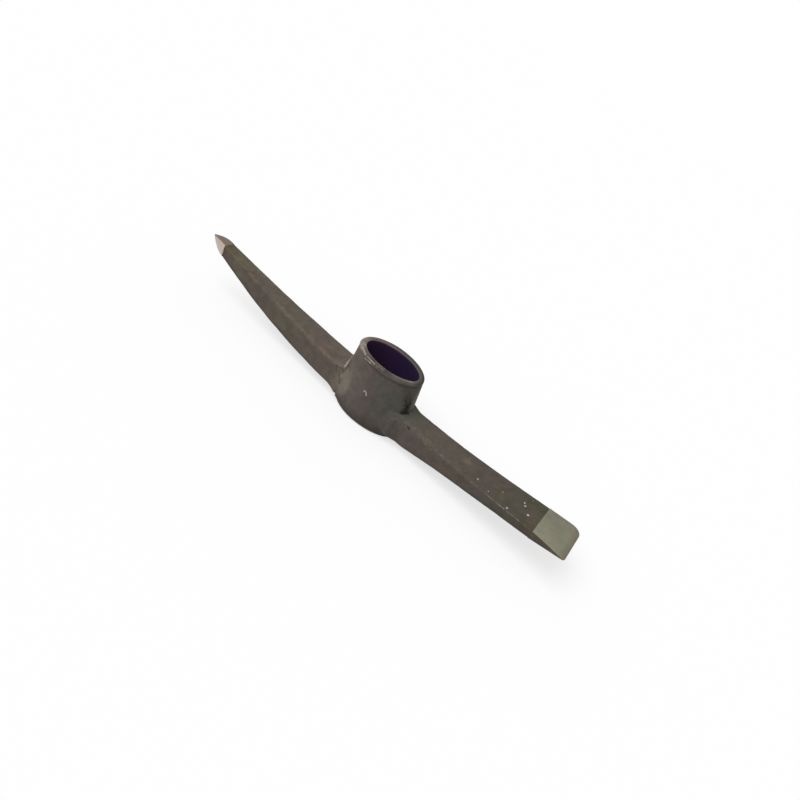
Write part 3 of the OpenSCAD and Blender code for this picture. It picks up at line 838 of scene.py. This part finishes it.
# Ground point, painted light and shade by facing: a warm pale grey on the sides, browner on the two
# upper faces
point.data.materials.append(ground_steel(
    "tool steel, ground bare, warm", "#d2c5b9", "#a08f83", tip_x, "#6a6560"))
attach(point, "root")
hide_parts("pick_point")


# CHISEL BIT
# The hardened cutting bit, a wedge ground flat on top, with a flat tang brazed into the arm.
# One corner of the edge is worn round. Its sides keep the lacquer until close to the edge.

# In mm: place, width, top and bottom of the bit at the arm and at its edge, its tang's width and
# length, the step in from the bit's sides to the tang, and where the lacquer on the sides ends
bit_w = 49
bit_sections = [(chisel_end_x, bit_w, 40.4, 30.7), (edge_x, 57, 41.5, 40.3)]
bit_tang_w, bit_tang_len, bit_step = 28, 16, 3.1
ground_from = 237

bit = end_face("chisel_bit_ground", *bit_sections[0])
draw_out(bit_sections)
choose("edges", lambda p: p.x > edge_x - 0.1 and p.y > 28)
bpy.ops.mesh.bevel(offset=12 * mm, segments=8, affect="EDGES")
choose("edges", lambda p: p.x > edge_x - 0.1 and p.y < -28)
bpy.ops.mesh.bevel(offset=2.8 * mm, segments=5, affect="EDGES")
choose("faces", lambda p: p.x < chisel_end_x + 0.01)
bpy.ops.mesh.inset(thickness=bit_step * mm)
bpy.ops.transform.resize(
    value=(1, bit_tang_w / (bit_w - 2 * bit_step), 1),
    center_override=(chisel_end_x * mm, 0, chisel_end_z * mm))
bpy.ops.mesh.extrude_region_move(TRANSFORM_OT_translate={"value": (-bit_tang_len * mm, 0, 0)})
# The line on each side where the grinding ends and the lacquer begins
bpy.ops.mesh.select_all(action="SELECT")
bpy.ops.mesh.bisect(plane_co=(ground_from * mm, 0, 38 * mm), plane_no=(1, 0, -0.6))
bpy.ops.mesh.select_all(action="SELECT")
bpy.ops.mesh.normals_make_consistent(inside=False)
bpy.ops.object.mode_set(mode="OBJECT")
# Ground bit, painted light and shade by facing: dark olive on the upright faces, pale on the upper
# ones
bit.data.materials.append(ground_steel(
    "tool steel, ground bare", "#5f5d49", "#a8a590", edge_x, "#8f7f66"))
bit.data.materials.append(lacquer)
bpy.ops.object.mode_set(mode="EDIT")
choose("faces", lambda p: chisel_end_x + 0.1 < p.x < ground_from and abs(p.y) > 24)
bit.active_material_index = 1
bpy.ops.object.material_slot_assign()
bpy.ops.object.mode_set(mode="OBJECT")
finish_with(bit, "BEVEL", limit_method="ANGLE", angle_limit=radians(40), width=0.3 * mm,
            segments=2)
bpy.ops.object.shade_smooth_by_angle(angle=radians(25))
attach(bit, "root")
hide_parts("chisel_bit")


# WELD RUNS
# Weld metal between the socket and each arm's root: a saddle-shaped layer that ends in a rounded,
# lumpy bead all round the joint. Its crest is rubbed pale on the pick side, and grit and painted
# shade darken the crevice above it on the chisel side.

weld_ripple = unevenness("weld ripple", 2.6)
clear_x = 70  # in mm, well clear of the wall that the layers are then pushed in against


def run_weld(name, side, layers, corner_r, lumpiness):
    """Builds up a saddle of weld in layers, from the socket's wall out to the arm's seat.
    Each layer gives its width, top and bottom and how far it stands off the wall."""
    width, top, bottom, _ = layers[0]
    run = end_face(name, side * clear_x, width, top, bottom)
    bpy.ops.mesh.bevel(offset=corner_r * mm, segments=6, affect="VERTICES")
    choose("edges", lambda p: (
        abs(p.y) < width / 2 - corner_r or bottom + corner_r < p.z < top - corner_r))
    bpy.ops.mesh.subdivide(number_cuts=15)
    bpy.ops.mesh.select_all(action="SELECT")
    for depth in (0.4, 1.2, 2.4):
        bpy.ops.mesh.inset(thickness=depth * mm)
    bpy.ops.mesh.poke()
    bpy.ops.mesh.select_all(action="SELECT")
    draw_out([(side * (clear_x + k), *layer[:3]) for k, layer in enumerate(layers)])
    bpy.ops.mesh.select_all(action="SELECT")
    bpy.ops.mesh.normals_make_consistent(inside=False)
    bpy.ops.object.mode_set(mode="OBJECT")
    for k in range(len(layers)):
        weigh(run, f"layer {k}", lambda p: 1 if abs(abs(p.x) - clear_x - k) < 0.1 else 0)
    for k, (_, _, _, stand_off) in enumerate(layers):
        finish_with(run, "SHRINKWRAP", target=wall, wrap_method="PROJECT", use_project_x=True,
                    use_positive_direction=side < 0, use_negative_direction=side > 0,
                    offset=stand_off * mm, vertex_group=f"layer {k}")
    finish_with(run, "SUBSURF", levels=2, render_levels=2)
    roughen(run, weld_ripple, lumpiness, "")
    bpy.ops.object.shade_smooth()
    run.data.materials.append(lacquer)
    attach(run, "root")
    return run


# A plain oval wall stands in for the socket while the welds are laid against it
clear_bench()
bpy.ops.mesh.primitive_cylinder_add(
    vertices=oval_steps, radius=wall_pick * mm, depth=oval_h * mm, location=(0, 0, oval_mid * mm),
    end_fill_type="NOTHING")
wall = bpy.context.object
bpy.ops.transform.resize(value=(1, wall_side / wall_pick, 1), center_override=(0, 0, 0))
bpy.ops.object.transform_apply(location=True, rotation=True, scale=True)
bpy.ops.object.mode_set(mode="EDIT")
choose("verts", lambda p: p.x > 0.01)
bpy.ops.transform.resize(value=(wall_chisel / wall_pick, 1, 1), center_override=(0, 0, 0))
bpy.ops.object.mode_set(mode="OBJECT")

pick_weld = run_weld("pick_weld_run", -1, [
    (54.6, 41.2, 2.4, -0.5), (51.2, 40.4, 2.8, 0.5), (49.2, 40, 3.2, 1.7), (47.2, 39.7, 3.6, 3.2),
    (45.4, 39.4, 4.2, 5), (41.8, 38.8, 6.2, 8), (39.2, 38.3, 7.2, 11), (38, 37.9, 7.7, 15)],
    corner_r=7.5, lumpiness=0.3)
# The run stops short along a slanted line across the arm. Its edge stands proud as a pale seam
seam_x, seam_slant, seam_tilt = -38.9, 0.345, 0.15
bpy.ops.object.mode_set(mode="EDIT")
bpy.ops.mesh.select_all(action="SELECT")
bpy.ops.mesh.bisect(plane_co=(seam_x * mm, -16.3 * mm, 37.5 * mm),
                    plane_no=(-1, -seam_slant, -seam_tilt), use_fill=True, clear_outer=True)
bpy.ops.object.mode_set(mode="OBJECT")


def behind_seam(p):
    """How far a point of the weld lies behind its slanted edge, in mm."""
    return p.x + seam_slant * p.y + seam_tilt * p.z - seam_x


weigh(pick_weld, "seam", lambda p: (1 - ease(behind_seam(p), 0.5, 4)) * ease(p.z, 35, 37))
roughen(pick_weld, weld_ripple, 1.6, "seam", direction="X")
bpy.ops.object.shade_smooth_by_angle(angle=radians(50))
mark(pick_weld, "pale", lambda p: (
    (1 - ease(behind_seam(p), 1.2, 2.4)) * (1 - 0.35 * ease(p.y, -9, 1))
    * ease(p.z, 36, 37.6) * ease(p.y, -18, -15.6)))
mark(pick_weld, "tint_and_highlight", socket_tint_and_highlight)
# Painted shade in the crevices, the socket's darkening, and a dark line behind the raised seam
mark(pick_weld, "soil_and_shade", lambda p: max(
    in_crevice(p), socket_soil_and_shade(p),
    0.55 * (1 - ease(abs(behind_seam(p) - 3.2), 0.5, 1.6)) * ease(p.z, 37, 38.5)))
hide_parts("pick_weld")
chisel_weld = run_weld("chisel_weld_run", 1, [
    (52, 38.4, 3.4, -0.6), (49.2, 38.2, 3.8, 0.2), (46.8, 38.1, 4.2, 1.6), (45, 38, 4.6, 3),
    (43, 37.6, 4.9, 5), (39.2, 37, 4.9, 8.2), (36.6, 36.65, 4.95, 11)],
    corner_r=9.5, lumpiness=0.2)
# Grit and painted shade darken the corner where the rough strip of the collar comes down on the
# weld
foot_of_strip = [(40.1, -12.6, 38.4), (42.5, -9, 38.4), (44.1, -5, 38.4)]
mark(chisel_weld, "grime_and_shade", lambda p: max(
    root_grime(p), 1 - ease(off_path(p, foot_of_strip), 0.8, 2.6)))
mark(chisel_weld, "soil_and_shade", socket_soil_and_shade)
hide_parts("chisel_weld")
bpy.data.objects.remove(wall)


# FLOOR, LIGHT AND CAMERA
# A plain white floor, one large soft lamp in front and to the left, and an even white surround.
# The photo is cut out on white, so both look white to the camera and light the head less than that.

clear_bench()
bpy.ops.mesh.primitive_plane_add(size=12)
floor = bpy.context.object
floor.name = "floor"
paper, tree = start_finish("white paper")
rays = add(tree, "ShaderNodeLightPath").outputs
seen = add(tree, "ShaderNodeMath", {
    0: rays["Is Camera Ray"], 1: rays["Is Glossy Ray"]}, operation="MAXIMUM").outputs["Value"]
seen = add(tree, "ShaderNodeMath", {
    0: seen, 1: rays["Is Transmission Ray"]}, operation="MAXIMUM").outputs["Value"]
lift = add(tree, "ShaderNodeMath", {0: seen, 1: 0.68}, operation="MULTIPLY").outputs["Value"]
shade = add(tree, "ShaderNodeMapRange", {
    "Value": rays["Is Camera Ray"], "To Min": 0.7, "To Max": 1.0}).outputs["Result"]
dull = add(tree, "ShaderNodeBsdfDiffuse", {"Color": shade}).outputs["BSDF"]
glow = add(tree, "ShaderNodeEmission", {"Color": grey(1), "Strength": 1}).outputs["Emission"]
surface = add(tree, "ShaderNodeMixShader", {0: lift, 1: dull, 2: glow}).outputs["Shader"]
add(tree, "ShaderNodeOutputMaterial", {"Surface": surface})
floor.data.materials.append(paper)

world = bpy.data.worlds.new("white surround")
bpy.context.scene.world = world
world.use_nodes = True
tree = world.node_tree
tree.nodes.clear()
rays = add(tree, "ShaderNodeLightPath").outputs
seen = add(tree, "ShaderNodeMath", {
    0: rays["Is Camera Ray"], 1: rays["Is Transmission Ray"]}, operation="MAXIMUM").outputs["Value"]
strength = add(tree, "ShaderNodeMapRange", {
    "Value": seen, "To Min": 0.5, "To Max": 1.0}).outputs["Result"]
sky = add(tree, "ShaderNodeBackground", {"Color": grey(1), "Strength": strength})
add(tree, "ShaderNodeOutputWorld", {"Surface": sky.outputs["Background"]})

bpy.ops.object.light_add(type="SUN", location=(-0.9, -0.9, 2.0))
lamp = bpy.context.object
lamp.data.energy = 1.8
lamp.data.angle = radians(50)
lamp.rotation_euler = (Vector((0, 0, 0.03)) - lamp.location).to_track_quat("-Z", "Y").to_euler()

# The camera looks down on a point beside the eye and is rolled, so that the head lies aslant.
# Its angles are in degrees
azimuth, elevation, roll = 16.933, 34.340, 30.231
bpy.ops.object.camera_add()
camera = bpy.context.object
camera.data.sensor_width = 36
camera.data.lens = 28.609
camera.data.clip_start = 0.01
turn = (Matrix.Rotation(radians(azimuth), 4, "Z")
        @ Matrix.Rotation(radians(90 - elevation), 4, "X")
        @ Matrix.Rotation(radians(roll), 4, "Z"))
aim = Matrix.Translation((27.8 * mm, 0, 41.2 * mm))
stand_back = Matrix.Translation((0, 0, 668.8 * mm))
camera.matrix_world = aim @ turn @ stand_back
bpy.context.scene.camera = camera
bpy.context.scene.view_settings.view_transform = "Standard"
